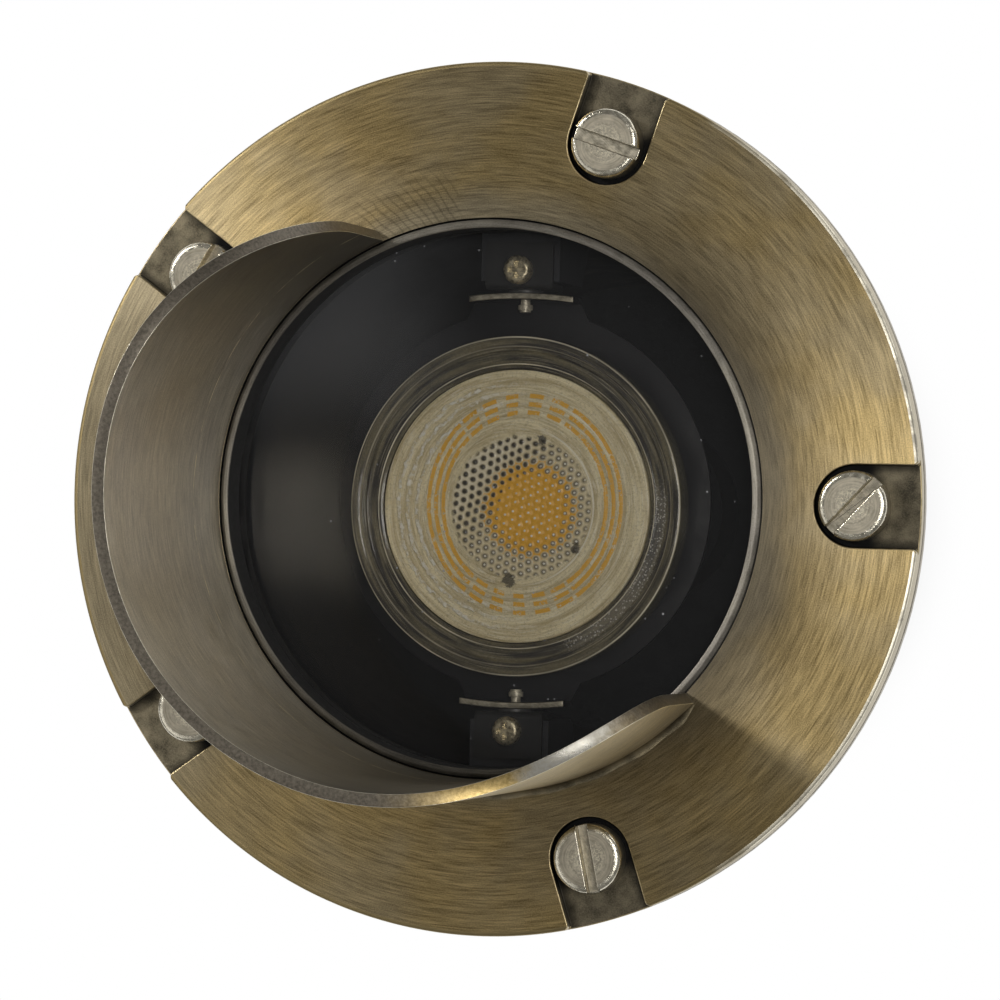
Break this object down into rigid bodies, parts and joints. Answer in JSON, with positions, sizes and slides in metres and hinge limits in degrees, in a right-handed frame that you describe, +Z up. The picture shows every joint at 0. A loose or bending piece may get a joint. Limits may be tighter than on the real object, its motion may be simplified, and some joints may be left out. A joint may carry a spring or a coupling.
{
  "type": "in-ground well light",
  "caption": "Round in-ground well light: screwed-down brass trim ring with a standing cowl over a sealed glass lens, and a reflector lamp that tilts in a cradle inside a sunk canister.",
  "frame": {"origin": "middle of the canister's foot, on the canister's axis", "axes": "+Z up the canister's axis towards the lens, +X towards one of the trim screws, Y along the lamp's tilt axis; the cowl's back is 216 degrees round from +X"},
  "size_m": [0.127, 0.127, 0.1626],
  "materials": {
    "can_composite": "moulded, black",
    "cast_brass": "cast, dulled",
    "trim_brass": "turned and brushed, antique",
    "cowl_brass": "brushed, burnished edges",
    "insert_brass": "machined",
    "lip_metal": "satin, dulled",
    "screw_steel": "scuffed, bright edges",
    "lens_glass": "clear, polished",
    "seal_rubber": "matt",
    "potting": "matt",
    "bracket_steel": "black, satin",
    "small_screw_brass": "dull",
    "pin_steel": "satin",
    "washer_nylon": "matt",
    "cradle_steel": "plated, dull",
    "clip_wire": "drawn wire",
    "lamp_glass": "clear, polished",
    "optic_plastic": "moulded, clear",
    "led_amber": "silicone over the emitters",
    "core_aluminium": "machined",
    "base_ceramic": "unglazed",
    "socket_ceramic": "unglazed"
  },
  "bodies": {
    "fixture": {"housing": "can_composite", "housing_flange": "cast_brass", "threaded_inserts": "insert_brass", "lead_seal": "potting", "flange_gasket": "seal_rubber", "trim_ring": "trim_brass", "cowl": "cowl_brass", "lens_ring": "lip_metal", "lens_gasket": "seal_rubber", "lens": "lens_glass", "trim_screws": "screw_steel", "tilt_bracket_rear": "bracket_steel", "tilt_bracket_front": "bracket_steel", "bracket_screws": "small_screw_brass", "pivot_pins": "pin_steel", "pivot_washers": "washer_nylon"},
    "lamp_unit": {"cradle": "cradle_steel", "lamp_clip": "clip_wire", "lamp_body": "lamp_glass", "lamp_optic": "optic_plastic", "led_board": "led_amber", "lamp_core": "core_aluminium", "lamp_base": "base_ceramic", "lamp_pins": "pin_steel", "lamp_socket": "socket_ceramic"}
  },
  "joints": [
    {"name": "lamp_tilt", "type": "hinge", "parent": "fixture", "child": "lamp_unit", "pos_m": [0, 0, 0.0921], "axis": [0, 1, 0], "range_deg": [-15, 15]}
  ]
}
